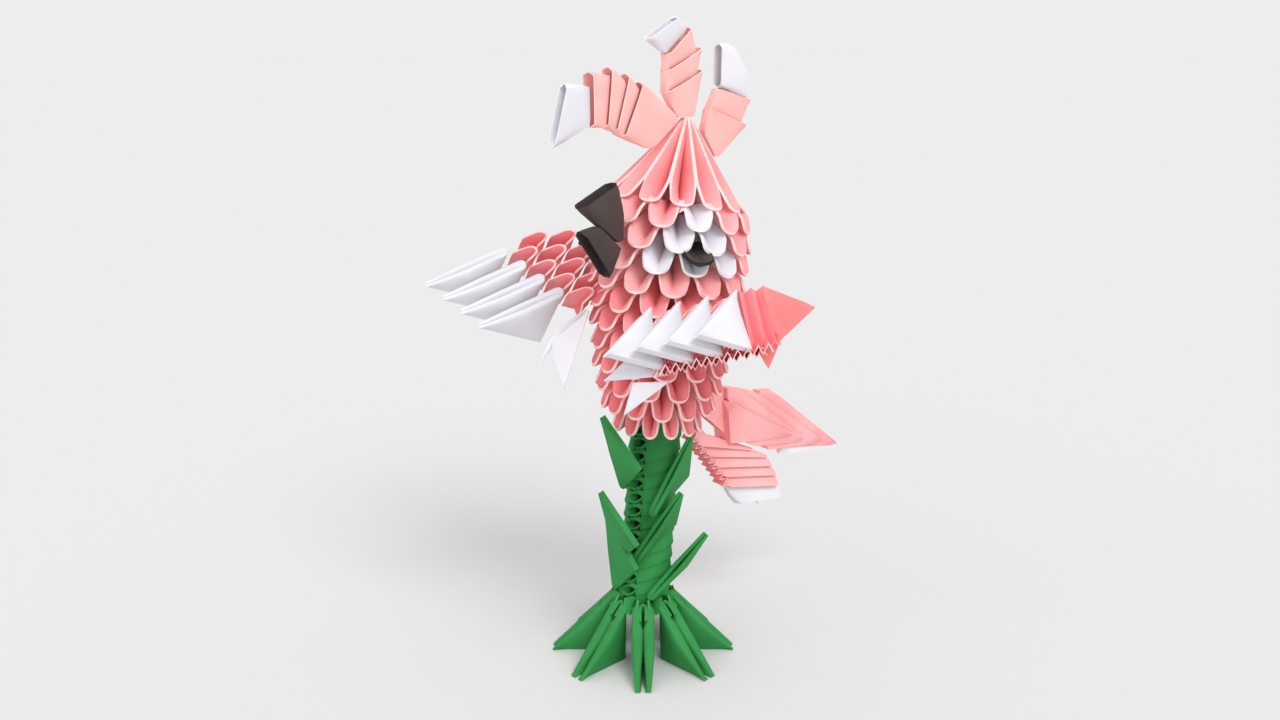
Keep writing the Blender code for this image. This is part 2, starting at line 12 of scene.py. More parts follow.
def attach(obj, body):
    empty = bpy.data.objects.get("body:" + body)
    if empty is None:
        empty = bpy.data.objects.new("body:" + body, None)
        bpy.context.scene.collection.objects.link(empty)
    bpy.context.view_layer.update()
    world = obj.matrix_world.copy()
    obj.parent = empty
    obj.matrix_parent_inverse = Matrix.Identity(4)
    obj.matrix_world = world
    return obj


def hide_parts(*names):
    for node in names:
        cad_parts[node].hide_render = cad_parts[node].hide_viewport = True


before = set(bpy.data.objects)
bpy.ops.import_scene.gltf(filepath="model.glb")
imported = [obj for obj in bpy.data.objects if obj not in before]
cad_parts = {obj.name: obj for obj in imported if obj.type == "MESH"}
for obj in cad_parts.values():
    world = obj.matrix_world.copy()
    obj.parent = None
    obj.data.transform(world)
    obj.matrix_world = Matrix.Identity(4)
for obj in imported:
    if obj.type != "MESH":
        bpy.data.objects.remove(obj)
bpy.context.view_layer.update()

MM = 0.001

# The folded unit
SPINE = 18.5
ALTITUDE = SPINE / math.sqrt(2)
HYPOTENUSE = SPINE * math.sqrt(2)

# Sheet thicknesses, points across a wall, and how the meshes are closed and shaded
PAPER = 0.4
ROW_PAPER = 0.75
WING_PAPER = 0.6
BEAK_PAPER = 0.6
EYE_PAPER = 0.9
HALF_COLUMNS = 6
FLAT_COLUMNS = 4
MERGE = 0.00002
SHARP_ANGLE = math.radians(38)

# The rows of the body and head, as in the frame
ROW_PITCH = 6.15
STACK_BASE = Vector((0, 5.4, 72))
ROW_UNITS = 13
BODY_ROWS = 7
RADII = [13.5, 17, 19, 20.2, 21, 21.8, 22.4, 23, 23.5, 23.4, 22.6, 20.3]
ROW_TILTS = [2, 3.2, 4.1, 5, 5.3, 6, 6.2, 6.4, 7, 8, 9, 10]
CROWN_HEIGHT = 20.6
PEAK_RADIUS = 3.2
UNIT_STEP = 2 * math.pi / ROW_UNITS
FACE_BEARING = UNIT_STEP / 2
EYE_SPREAD = 2 * UNIT_STEP
EYE_ROW = 8

# How the units sit in the rows, the crown and the eyes, in the scene alone
RIM_INSET = 0.2
ROW_LEAN = math.radians(18)
LOW_ROW_LEAN = math.radians(14)
ROW_END = 12.5
TOP_ROW_END = 8.8
ROW_TUCK = 5.2
CROWN_LEAN = math.radians(38.4)
CROWN_END = 30
EYE_LEAN = math.radians(27)
EYE_OUT = 2.8
EYE_END = 9
EYE_RAISE = 3.7

# The wings
WING_UNITS = 5
WING_ROWS = 3
WING_DEPTH = 8
WING_UNIT_WIDTH = 6.5
WING_ROW_LEAN = math.radians(14)
WING_ROW_END = 11
NEAR_WING_HALF = 3.2
FAR_WING_HALF = 2.6
SPLAY = (0.9, 0.5)

# The feet and the leg
FOOT_COUNT = 8
FOOT_RADIUS = 9
FOOT_LIFT = 0.25
LEG_TURN = math.radians(52)
LEG_BANDS = 15
LEG_HALF_WIDTH = 7.5
LEG_HALF_DEPTH = 5.0
LEG_COLUMNS = 30
BAND_SLOPE = 1.9
SILL_BEND = 1.3
LADDER_AT = math.radians(128)
LADDER_HALF = math.radians(19)
LEG_TOP = 77.2
SOCKET_TOP = 14.8


# Materials

def paper(name, colour, shade, grain=0.05):
    """Matt paper: a fine grain, and a slow drift between the colour and a darker shaded copy of it,
    painted shade laid in random blotches.
    """
    material = bpy.data.materials.new(name)
    material.use_nodes = True
    tree = material.node_tree
    shader = tree.nodes["Principled BSDF"]
    shader.inputs["Base Color"].default_value = (*colour, 1)
    shader.inputs["Roughness"].default_value = 0.75
    shader.inputs["Specular IOR Level"].default_value = 0.25
    place = tree.nodes.new("ShaderNodeTexCoord")
    drift = tree.nodes.new("ShaderNodeTexNoise")
    drift.inputs["Scale"].default_value = 60
    drift.inputs["Detail"].default_value = 2
    ramp = tree.nodes.new("ShaderNodeMapRange")
    ramp.inputs["From Min"].default_value = 0.35
    ramp.inputs["From Max"].default_value = 0.65
    # The mix lays the shaded copy, painted shade, over the colour wherever the drift runs high.
    mix = tree.nodes.new("ShaderNodeMix")
    mix.data_type = "RGBA"
    mix.inputs["A"].default_value = (*colour, 1)
    mix.inputs["B"].default_value = (*shade, 1)
    fibre = tree.nodes.new("ShaderNodeTexNoise")
    fibre.inputs["Scale"].default_value = 2600
    fibre.inputs["Detail"].default_value = 3
    bump = tree.nodes.new("ShaderNodeBump")
    bump.inputs["Strength"].default_value = grain
    bump.inputs["Distance"].default_value = 0.0002
    tree.links.new(place.outputs["Object"], drift.inputs["Vector"])
    tree.links.new(place.outputs["Object"], fibre.inputs["Vector"])
    tree.links.new(drift.outputs["Fac"], ramp.inputs["Value"])
    tree.links.new(ramp.outputs["Result"], mix.inputs["Factor"])
    tree.links.new(mix.outputs["Result"], shader.inputs["Base Color"])
    tree.links.new(fibre.outputs["Fac"], bump.inputs["Height"])
    tree.links.new(bump.outputs["Normal"], shader.inputs["Normal"])
    return material


# Each colour is a face and an edge pair; the edge tone, lighter on all but the dark paper, goes on
# the rims as a painted highlight.
ROSE = (paper("rose_face", (0.985, 0.48, 0.48), (0.975, 0.39, 0.4)),
        paper("rose_highlight_edge", (0.985, 0.7, 0.68), (0.975, 0.64, 0.63), grain=0))
# The pinks step from deep to pale: PINK on the body rows and wings, ROSE on the head rows, crown
# and tail, PALE on the crest; painted light, lighter where more light falls from above.
PINK = (paper("pink_face", (0.98, 0.37, 0.385), (0.97, 0.28, 0.305)),
        paper("pink_highlight_edge", (0.98, 0.68, 0.65), (0.97, 0.62, 0.6), grain=0))
# Pink darkened to coral: painted shade for a wall that faces away from the light.
SHADED_PINK = (paper("shaded_pink_face", (0.95, 0.25, 0.24), (0.95, 0.19, 0.19)),
         paper("shaded_pink_highlight_edge", (0.98, 0.5, 0.48), (0.97, 0.44, 0.43), grain=0))
PALE = (paper("pale_pink_face", (0.985, 0.56, 0.52), (0.98, 0.49, 0.46)),
        paper("pale_pink_highlight_edge", (0.99, 0.72, 0.69), (0.98, 0.66, 0.63), grain=0))
# The white's shaded copy leans to lavender: painted bluish shade.
WHITE = (paper("white_face", (0.8, 0.79, 0.82), (0.74, 0.735, 0.79)),
         paper("white_highlight_edge", (0.88, 0.88, 0.89), (0.87, 0.87, 0.89), grain=0))
DARK = (paper("dark_face", (0.085, 0.066, 0.06), (0.06, 0.047, 0.043), grain=0.15),
        paper("dark_edge", (0.02, 0.017, 0.02), (0.025, 0.02, 0.022), grain=0))
GREEN = (paper("green_face", (0.035, 0.29, 0.07), (0.028, 0.23, 0.055)),
         paper("green_highlight_edge", (0.1, 0.42, 0.14), (0.08, 0.37, 0.12), grain=0))
SLOTS = {"pink": PINK, "white": WHITE, "dark": DARK, "green": GREEN}


# Sheets of paper

def add_sheet(builder, grid, floor=None, open_from=None):
    """Quads over a grid of points; the floor column is left out from one station on."""
    rows = [[builder.verts.new(Vector(p) * MM) for p in row] for row in grid]
    for i in range(len(rows) - 1):
        for j in range(len(rows[0]) - 1):
            if open_from is not None and j == floor and i >= open_from:
                continue
            corners = (rows[i][j], rows[i][j + 1], rows[i + 1][j + 1], rows[i + 1][j])
            builder.faces.new(corners)


def finish_piece(name, builder, colour, nodes, thickness=PAPER, sheets=None):
    """Gives the sheets their thickness and hands the piece to the frame."""
    bmesh.ops.remove_doubles(builder, verts=builder.verts, dist=MERGE)
    mesh = bpy.data.meshes.new(name)
    builder.to_mesh(mesh)
    builder.free()
    for material in sheets or SLOTS[colour]:
        mesh.materials.append(material)
    draft = bpy.data.objects.new(name + "_draft", mesh)
    bpy.context.scene.collection.objects.link(draft)
    solid = draft.modifiers.new("thickness", "SOLIDIFY")
    solid.thickness = thickness * MM
    solid.offset = 0
    solid.use_rim = True
    # The rim faces take the edge tone: a painted highlight along the rims.
    solid.material_offset_rim = 1
    bpy.context.view_layer.update()
    seen = draft.evaluated_get(bpy.context.evaluated_depsgraph_get())
    final = bpy.data.meshes.new_from_object(seen)
    bpy.data.objects.remove(draft)
    final.name = name
    final.shade_smooth()
    final.set_sharp_from_angle(angle=SHARP_ANGLE)
    piece = bpy.data.objects.new(name, final)
    bpy.context.scene.collection.objects.link(piece)
    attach(piece, "root")
    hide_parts(*nodes)


def half_columns(count):
    return [k / count for k in range(count + 1)]


def both_sides(point, columns):
    """One station: down the first wall, across the fold and up the second."""
    row = [point(t, -1) for t in reversed(columns)]
    row += [point(t, 1) for t in columns]
    return row


BOW = [0, 0.08, 0.25, 0.5, 0.9, 1.4, 2.2, 3.2, 4.4, 5.8, 7.2, 8.6, 10.2, 12, 15, 18, 21, 24]


def bow_round(s, length, power=2.2):
    """How wide a unit is near its closed end, from 0 to 1."""
    if s >= length:
        return 1
    return (1 - (1 - s / length) ** power) ** (1 / power)


def ring_unit(builder, place, unit, radius, lean, end, rim=0.94, nose=0.56, keel=0.12, flare=1.25,
              stem=0.9, spread=8.0, drop=0.0, tuck_from=5.6):
    """A unit of a row: rims outwards, closed end down, leaning in by an angle.

    From tuck_from on, the rims draw in, under the units of the next row.
    """
    sin, cos = math.sin(lean), math.cos(lean)
    grid = []
    for s in [s for s in BOW if s < end - 0.3] + [end]:
        deep = max(0.4, stem + (s if s < ALTITUDE else HYPOTENUSE - s))
        tuck = min(max(0, s - tuck_from), deep * 0.9)
        wide = nose * bow_round(s, 1.9) + (rim - nose) * min(1, s / spread)

        def point(t, side):
            f = side * wide * (keel + (1 - keel) * t ** flare)
            depth = deep * (1 - t) + tuck * t
            out = radius - s * sin - depth * cos
            return place(unit + f / 2, max(out, 0.3), s * cos - depth * sin - drop)

        grid.append(both_sides(point, half_columns(HALF_COLUMNS)))
    add_sheet(builder, grid)


def polyline(points, share):
    """The point a share of the way along a run of points."""
    lengths = [(b - a).length for a, b in zip(points, points[1:])]
    left = share * sum(lengths)
    for a, b, length in zip(points, points[1:], lengths):
        if left <= length or b is points[-1]:
            return a.lerp(b, min(1, left / length if length else 0))
        left -= length
    return points[-1]


def flat_unit(builder, corners, slot, across, rim_half, keel_half, stations=12, belly=0.0):
    """A unit pressed flat: two walls folded along every edge but one, which gapes."""
    count = len(corners)
    a = corners[slot]
    b = corners[(slot + 1) % count]
    back = [corners[(slot - k) % count] for k in range(count)]
    grid = []
    for i in range(stations + 1):
        share = i / stations
        rim_at = a.lerp(b, share)
        keel_at = polyline(back, share)
        pinch = min(1, 0.25 + 3.2 * math.sin(math.pi * share) ** 0.8)
        gape = rim_half * pinch
        fold = keel_half * pinch

        def point(t, side):
            half = fold + (gape - fold) * t + belly * math.sin(math.pi * t)
            return keel_at.lerp(rim_at, t) + across * side * half

        grid.append(both_sides(point, half_columns(FLAT_COLUMNS)))
    add_sheet(builder, grid)


def zigzag(builder, points, teeth, swing, depth):
    """The small folded ends of pockets along a line, as one pleated strip."""
    count = 2 * teeth
    grid = []
    for k in range(count + 1):
        middle = polyline(points, k / count) + swing * (0.5 if k % 2 else -0.5)
        grid.append([middle - depth / 2, middle, middle + depth / 2])
    add_sheet(builder, grid)


def single_unit(builder, matrix, half, gap, tip_half, tip_gap, fold=1.2, spine=0.7, open_end=False,
                cap=0):
    """A whole unit: closed fold at the origin, tips along X, base corner towards -Z.

    Each wall is a flat pocket: its outer leaf turns over a rounded rim into an inner one.
    """
    spots = [0, 0.15, 0.5, 1.1, 2, 3.2, 5, 7.5, 10, ALTITUDE]
    spots += [ALTITUDE + (HYPOTENUSE - ALTITUDE) * k / 7 for k in range(1, 8)]
    outer_steps = (0, 0.2, 0.45, 0.7, 0.88, 0.95, 0.985, 1)
    inner_steps = (0.985, 0.95, 0.85, 0.6, 0.3)
    grid = []
    for s in spots:
        round_off = bow_round(s, 1.6, 2)
        if s <= ALTITUDE:
            share = (s / ALTITUDE) ** 0.7
            deep = 0.5 + s * (ALTITUDE - 0.5) / ALTITUDE
            top = (fold + (half - fold) * share) * round_off
            slit = gap * share * round_off
        else:
            share = (s - ALTITUDE) / (HYPOTENUSE - ALTITUDE)
            deep = ALTITUDE * (1 - share) + 0.05
            top = half + (tip_half - half) * share
            slit = gap + (tip_gap - gap) * share
        foot = min(spine, top)
        sag = min(1 - bow_round(s, 3, 2), deep * 0.8)

        def leaf(t, outer):
            middle = (top + slit) / 2
            if outer:
                flank = foot + (top - foot) * t ** 0.8
            else:
                flank = min(foot * 0.4, slit) * (1 - t) + slit * t
            if t > 0.88:
                flank = middle + (flank - middle) * math.sqrt(max(0, 1 - ((t - 0.88) / 0.12) ** 2))
            if not outer and s < cap:
                return middle * t, -sag * t
            return flank, -deep * (1 - t) - sag * t

        row = []
        for side in (-1, 1):
            wall = [leaf(t, True) for t in outer_steps] + [leaf(t, False) for t in inner_steps]
            points = [matrix @ Vector((s, side * across, up)) for across, up in wall]
            row += points[::-1] if side < 0 else points
        grid.append(row)
    add_sheet(builder, grid, floor=12, open_from=9 if open_end else None)


def unit_matrix(fold, towards, base_side):
    x_axis = Vector(towards).normalized()
    z_axis = -(Vector(base_side) - x_axis * Vector(base_side).dot(x_axis)).normalized()
    y_axis = z_axis.cross(x_axis)
    turn = Matrix((x_axis, y_axis, z_axis)).transposed().to_4x4()
    return Matrix.Translation(fold) @ turn


# The body and head

def row_frames():
    frames = []
    centre = STACK_BASE.copy()
    for tilt in ROW_TILTS:
        turn = Matrix.Rotation(-math.radians(tilt), 4, "X")
        frames.append(Matrix.Translation(centre) @ turn)
        centre = centre + turn @ Vector((0, 0, ROW_PITCH))
    return frames


FRAMES = row_frames()


def ring_place(index, first):
    def place(unit, out, up):
        bearing = first + unit * UNIT_STEP
        return FRAMES[index] @ Vector((math.sin(bearing) * out, -math.cos(bearing) * out, up))
    return place


def row_start(index):
    return FACE_BEARING + UNIT_STEP / 2 * ((index - EYE_ROW) % 2)


def white_units(many, first):
    """The units of a row nearest the two eyes."""
    chosen = set()
    for bearing in (FACE_BEARING + EYE_SPREAD, FACE_BEARING - EYE_SPREAD):
        gaps = [abs(math.remainder(first + k * UNIT_STEP - bearing, 2 * math.pi))
                for k in range(ROW_UNITS)]
        chosen.update(sorted(range(ROW_UNITS), key=lambda k: round(gaps[k], 4))[:many])
    return chosen


def row_drop(index):
    """How far the units of a row hang below the row's own level."""
    return 1.3 + 0.15 * index


white_counts = {EYE_ROW: 3, EYE_ROW + 1: 2, EYE_ROW + 2: 1}
for index, radius in enumerate(RADII[:-1]):
    node = f"body_row_{index + 1}" if index < BODY_ROWS else f"head_row_{index - BODY_ROWS + 1}"
    first = row_start(index)
    whites = white_units(white_counts.get(index, 0), first)
    place = ring_place(index, first)
    lean = ROW_LEAN if index > 1 else LOW_ROW_LEAN
    drop = row_drop(index)
    end = ROW_END if index < len(RADII) - 2 else TOP_ROW_END
    builders = {"pink": bmesh.new(), "white": bmesh.new()}
    for unit in range(ROW_UNITS):
        colour = "white" if unit in whites else "pink"
        ring_unit(builders[colour], place, unit, radius - RIM_INSET, lean, end,
                  stem=0.7, drop=drop, tuck_from=ROW_TUCK)
    # Deeper pink on the body rows, lighter rose on the head rows: painted light from above.
    sheets = PINK if index < BODY_ROWS else ROSE
    finish_piece(node + "_units", builders["pink"], "pink", [node], ROW_PAPER, sheets)
    if whites:
        finish_piece(node + "_white_units", builders["white"], "white", [node], ROW_PAPER)

crown = len(RADII) - 1
builder = bmesh.new()
place = ring_place(crown, row_start(crown))
for unit in range(ROW_UNITS):
    ring_unit(builder, place, unit, RADII[crown] - RIM_INSET, CROWN_LEAN, CROWN_END, nose=0.6,
              drop=row_drop(crown), tuck_from=HYPOTENUSE * 2)
finish_piece("crown_units", builder, "pink", ["crown_row"], ROW_PAPER, ROSE)

for name, side in (("eye_left", 1), ("eye_right", -1)):
    place = ring_place(EYE_ROW, FACE_BEARING + side * EYE_SPREAD)
    builder = bmesh.new()
    ring_unit(builder, place, 0, RADII[EYE_ROW] + EYE_OUT, EYE_LEAN, EYE_END,
              rim=0.8, nose=0.56, keel=0.3, stem=1.0, spread=5,
              drop=row_drop(EYE_ROW) - EYE_RAISE, tuck_from=2.0)
    finish_piece(name + "_unit", builder, "dark", [name], EYE_PAPER)


# The beak

forward = Vector((math.sin(FACE_BEARING), -math.cos(FACE_BEARING), 0))
across = Vector((forward.y, -forward.x, 0))
neck = Vector((0, 10.6, 0))
BEAK = {"upper_beak": (((41, 139.5), (26.5, 144.4), (23.5, 136.4), (23.9, 127.6)), 0),
        "lower_beak": (((40.5, 132.8), (33.5, 133.4), (24.6, 126.4), (29.6, 119.4)), 3)}
for name, (outline, slot) in BEAK.items():
    corners = [neck + forward * out + Vector((0, 0, up)) for out, up in outline]
    builder = bmesh.new()
    flat_unit(builder, corners, slot, across, 1.9, 0.9, belly=0.3)
    finish_piece(name + "_unit", builder, "dark", [name], BEAK_PAPER)


# The crest and the tail

def midplane(y, z):
    return Vector((0, y, z))


SIDEWAYS = Vector((1, 0, 0))


def over_crown(side, share):
    """A point of the midplane on the crown's slope, from its waist (0) to its peak (1)."""
    waist = Vector((RADII[crown] - 0.42 * (RADII[crown] - PEAK_RADIUS), 0.475 * CROWN_HEIGHT))
    out, up = waist.lerp(Vector((PEAK_RADIUS, CROWN_HEIGHT)), share)
    return FRAMES[crown] @ Vector((0, side * out, up))


# The stacks take the palest pink by default, as the crest on top catches the most light: painted
# light.
def stack(name, node, rungs, lip, rim_half, keel_half, foot=(), sheets=PALE):
    """Flat units nested along a line, each gaping over the one that follows it."""
    builder = bmesh.new()
    pairs = list(foot) + [(midplane(*rim), midplane(*back)) for rim, back in rungs]
    for i in range(1, len(pairs)):
        rim, back = pairs[i]
        width = (rim - back).normalized()
        proud = lip if i < len(pairs) - 1 else 0.2
        before_rim, before_back = pairs[i - 1]
        corners = [rim + width * proud, back, before_back, before_rim]
        flat_unit(builder, corners, 0, SIDEWAYS, rim_half, keel_half, stations=16)
    finish_piece(name, builder, "pink", [node], sheets=sheets)


stack("crest_front_units", "crest_front",
      [((-2.5, 168), (-8, 155.8)), ((-6.9, 170.2), (-10.7, 157.4)),
       ((-12.3, 172), (-13.7, 158.7)), ((-18.4, 173), (-18.2, 159))], 2.4, 2.5, 1.2,
      [(over_crown(-1, 0.95), over_crown(-1, 0.1))])
stack("crest_middle_units", "crest_middle",
      [((17.4, 160.2), (11.4, 160.2)), ((18, 172), (7, 167.2)), ((17.7, 178), (7.2, 173)),
       ((15.5, 184.3), (7.6, 177.4))], 2.2, 2.5, 1.1)
stack("crest_rear_units", "crest_rear",
      [((35, 157.5), (23, 162)), ((38, 164), (26.4, 167.4))], 2.2, 2.5, 1.2,
      [(over_crown(1, 0.1), over_crown(1, 0.7))])
CREST_TIPS = {
    "crest_front_tip": (((-30.7, 154.2), (-26.2, 170.4), (-18.9, 169.6), (-18.7, 159.4)), 0),
    "crest_middle_tip": (((1, 181.5), (11.4, 187.2), (14.9, 184.4), (7.1, 177.8)), 0),
    "crest_rear_tip": (((27.0, 179.8), (31.4, 179.8), (39.5, 169.8), (37.6, 164.7),
                        (26.8, 167.9)), 4),
}
for name, (outline, slot) in CREST_TIPS.items():
    builder = bmesh.new()
    flat_unit(builder, [midplane(*p) for p in outline], slot, SIDEWAYS, 1.7, 0.8, belly=0.2)
    finish_piece(name + "_unit", builder, "white", [name])

TAIL_PLATES = (((31.5, 78), (23.1, 81.5), (21.3, 71.6), (31.5, 62.8)),
               ((50.3, 73.6), (82.4, 48.7), (56, 53.5), (42.9, 74.4)),
               ((42.9, 74.4), (74.8, 51.6), (48, 54.5), (34.9, 77)),
               ((34.9, 77), (65.8, 54.1), (40, 57.5), (29, 78.4)),
               ((30, 74.5), (59.4, 57.2), (31.5, 60.6)))
builder = bmesh.new()
for k, outline in enumerate(TAIL_PLATES):
    slot = 0 if k else 2
    flat_unit(builder, [midplane(*p) for p in outline], slot, SIDEWAYS,
              1.5 + 0.85 * k, 0.8 + 0.7 * k)
finish_piece("tail_upper_units", builder, "pink", ["tail_upper"], sheets=ROSE)
HEM = ((55.5, 51.2), (82.4, 47.9), (80, 50.4), (56, 53.6))
builder = bmesh.new()
flat_unit(builder, [midplane(*p) for p in HEM], 0, SIDEWAYS, 1.5, 1.4)
finish_piece("tail_upper_hem", builder, "white", ["tail_upper"])
stack("tail_lower_units", "tail_lower",
      [((19.6, 66), (16.6, 73.3)), ((42, 55.8), (18.9, 62.0)), ((48.5, 52), (23.5, 57.6)),
       ((50.5, 48.6), (26.5, 53.4)), ((52.5, 45), (29.5, 49.6)), ((54.5, 41), (31.5, 45.8))],
      1.2, 2.7, 1.4, sheets=ROSE)
builder = bmesh.new()
for k, outline in enumerate((((32.2, 45.2), (54.9, 40.6), (57, 36.4), (37, 38.6)),
                             ((30.6, 46), (40, 44), (47, 36), (38.3, 41.5)))):
    flat_unit(builder, [midplane(*p) for p in outline], 2, SIDEWAYS, 1.8 - 0.5 * k, 1.0)
finish_piece("tail_lower_tip_unit", builder, "white", ["tail_lower_tip"])

builder = bmesh.new()
POCKET_LINE = ((17.6, 65.5), (19.4, 61.5), (23.5, 57.6), (26.5, 53.4), (29.5, 49.6), (31.5, 46))
ends = [midplane(*p) for p in POCKET_LINE]
zigzag(builder, ends, 9, Vector((0, -2.2, -0.9)), SIDEWAYS * 5.2)
finish_piece("tail_lower_pockets", builder, "pink", ["tail_lower"])


# The wings' pieces

OUTLOOK = Vector((0.76, -0.594, 0.262))
SPLAYED_RIGHT = (((-6.6, -15.0, 107.6), (-8.8, -24.2, 102.8), (-8.8, -30.8, 92.5),
                  (-8.5, -25.5, 98.4)),
                 ((-5.9, -14.8, 107.2), (-4.2, -24.9, 86.7), (-8.0, -26.5, 99.2)))
SPLAYED_LEFT = (((26.9, -33.8, 97.5), (28.4, -28.6, 101.9), (34.0, -18.2, 97.9)),
                ((29.2, -29.2, 88.0), (29.9, -26.8, 96.3), (33.9, -18.4, 96.0)))
PLEAT_LINE = [Vector((38.6, 1.4, 110)), Vector((43, 10.4, 111.4))]
PLEATS = 3
PLEAT_SWING = Vector((0.6, -0.45, 0.55)) * 3.2
PLEAT_DEPTH = Vector((9.5, -4, -13))


def wing(side, fold, tips, along, roll, stagger, fall):
    """White units side by side, and the pink rows that carry them, each lower by a fall.

    The first unit of the near wing is pink and pleated, and the last one of the far wing hangs.
    """
    tips = Vector(tips).normalized()
    along = (Vector(along) - tips * Vector(along).dot(tips)).normalized()
    top = tips.cross(along)
    if top.z < 0:
        top = -top
    lateral = (along * math.cos(roll) + top * math.sin(roll)).normalized()
    base_side = tips.cross(lateral)
    if base_side.z > 0:
        base_side = -base_side
    spacing = along * WING_UNIT_WIDTH + tips * stagger
    middle = (WING_UNITS - 1) / 2
    for k in range(WING_UNITS):
        at = Vector(fold) + spacing * (k - middle)
        colour = "pink" if k == 0 and side == "left" else "white"
        builder = bmesh.new()
        if k == WING_UNITS - 1 and side == "right":
            for outline in SPLAYED_RIGHT:
                flat_unit(builder, [Vector(p) for p in outline], 0, OUTLOOK, *SPLAY)
        elif colour == "pink":
            zigzag(builder, PLEAT_LINE, PLEATS, PLEAT_SWING, PLEAT_DEPTH)
        else:
            half = NEAR_WING_HALF if side == "left" else FAR_WING_HALF
            single_unit(builder, unit_matrix(at, tips, base_side), half, 0.9, 1.2, 0.5, fold=half)
        node = f"wing_{side}_feather_{k + 1}"
        finish_piece(node + "_unit", builder, colour, [node])
    for row in range(1, WING_ROWS + 1):
        shift = 0.5 * (row % 2)
        origin = Vector(fold) - tips * (ROW_PITCH * row) - top * (fall * row)

        def place(unit, out, up):
            across = spacing * (unit + shift - middle)
            return origin + across + top * (out - WING_DEPTH) + tips * up

        builder = bmesh.new()
        for unit in range(WING_UNITS - row % 2):
            ring_unit(builder, place, unit, WING_DEPTH - RIM_INSET, WING_ROW_LEAN, WING_ROW_END,
                      rim=0.86, nose=0.4, stem=0.5)
        node = f"wing_{side}_row_{row}"
        finish_piece(node + "_units", builder, "pink", [node], WING_PAPER)


wing("right", (-20.55, -20.2, 115.5), (-0.565, -0.72, -0.40), (0.676, -0.125, -0.724),
     math.radians(28), -3.85, 0)
wing("left", (29.9, -3.6, 115.1), (0.481, -0.853, -0.206), (-0.88, -0.47, -0.07),
     math.radians(-40), 4.1, 3)

builder = bmesh.new()
for outline in SPLAYED_LEFT:
    flat_unit(builder, [Vector(p) for p in outline], 0, OUTLOOK, *SPLAY)
finish_piece("wing_left_splayed_unit", builder, "white", ["wing_left_feather_5"])
builder = bmesh.new()
SHOULDER = ((37.4, 10.2, 118), (41.8, 26.3, 110.8), (47, 7.6, 105))
SMALL_TIP = ((39.6, 5, 105.6), (42.6, 14, 106.2), (41.4, 10, 96.6))
flat_unit(builder, [Vector(p) for p in SHOULDER], 1, Vector((0.74, -0.5, 0.45)), 1.9, 1.2,
          belly=0.5)
flat_unit(builder, [Vector(p) for p in SMALL_TIP], 0, Vector((0.79, -0.61, 0)), *SPLAY)
# The shoulder triangle and the small tip below it take the coral: painted shade.
finish_piece("wing_left_shoulder_units", builder, "pink", ["wing_left_row_1"],
             sheets=SHADED_PINK)
builder = bmesh.new()
for out, up in ((0, 0), (-2.4, -1.4)):
    line = [Vector((34.4 + out, -21.6, 100.6 + up)), Vector((48.6 + out, 4.4, 105.4 + up))]
    zigzag(builder, line, 11, Vector((0, 0, 2.4)), Vector((4.7, -3.7, 0)))
finish_piece("wing_left_pockets", builder, "pink", ["wing_left_row_2"])


# The leg, leaves and feet

wide = Vector((math.cos(LEG_TURN), math.sin(LEG_TURN), 0))
front = Vector((wide.y, -wide.x, 0))


def leg_point(angle, height, scale):
    lean = STACK_BASE.y * max(0, (height - SOCKET_TOP) / (LEG_TOP - SOCKET_TOP))
    return (Vector((0, lean, height)) + wide * (math.cos(angle) * LEG_HALF_WIDTH * scale)
            + front * (math.sin(angle) * LEG_HALF_DEPTH * scale))


def add_leg():
    """Bands nested in one another, all gaping along one line like a ladder."""
    builder = bmesh.new()
    rise = (LEG_TOP - SOCKET_TOP) / LEG_BANDS
    sweep = 2 * math.pi - 2 * LADDER_HALF
    angles = [LADDER_AT + LADDER_HALF + sweep * k / LEG_COLUMNS for k in range(LEG_COLUMNS + 1)]
    for band in range(LEG_BANDS):
        low = SOCKET_TOP + band * rise
        grid = []
        for up, scale in ((0, 1.0), (0.5, 1.015), (1.4, 0.985), (rise, 0.93), (rise + 1.5, 0.88)):
            row = []
            for angle in angles:
                slope = BAND_SLOPE * (math.cos(angle) + 0.6)
                row.append(leg_point(angle, min(low + up + slope, LEG_TOP - 0.2), scale))
            flanges = [leg_point(angle, row[0].z, reach) for angle, reach in
                       ((LADDER_AT + LADDER_HALF * 0.8, 0.7), (LADDER_AT - LADDER_HALF * 0.8, 0.7))]
            grid.append([flanges[0]] + row + [flanges[1]])
        add_sheet(builder, grid)
        for turn in (False, True):
            sill = []
            for up, reach in ((0, 1.05), (0.35, 1.08), (0.7, 1.0), (0.8, 0.6)):
                arc = []
                for k in range(9):
                    u = k / 4 - 1
                    angle = LADDER_AT - LADDER_HALF * u
                    slope = BAND_SLOPE * (math.cos(angle) + 0.6)
                    bend = (1 - u * u) * (SILL_BEND if turn else -SILL_BEND)
                    height = low + slope + rise * 0.5 + bend + (up if turn else -up)
                    arc.append(leg_point(angle, min(height, LEG_TOP - 0.2), reach))
                sill.append(arc)
            add_sheet(builder, sill)
    finish_piece("leg_stem_units", builder, "green", ["leg_stem"])


add_leg()


def from_leg(across, out, up):
    return wide * across + front * out + Vector((0, 0, up))


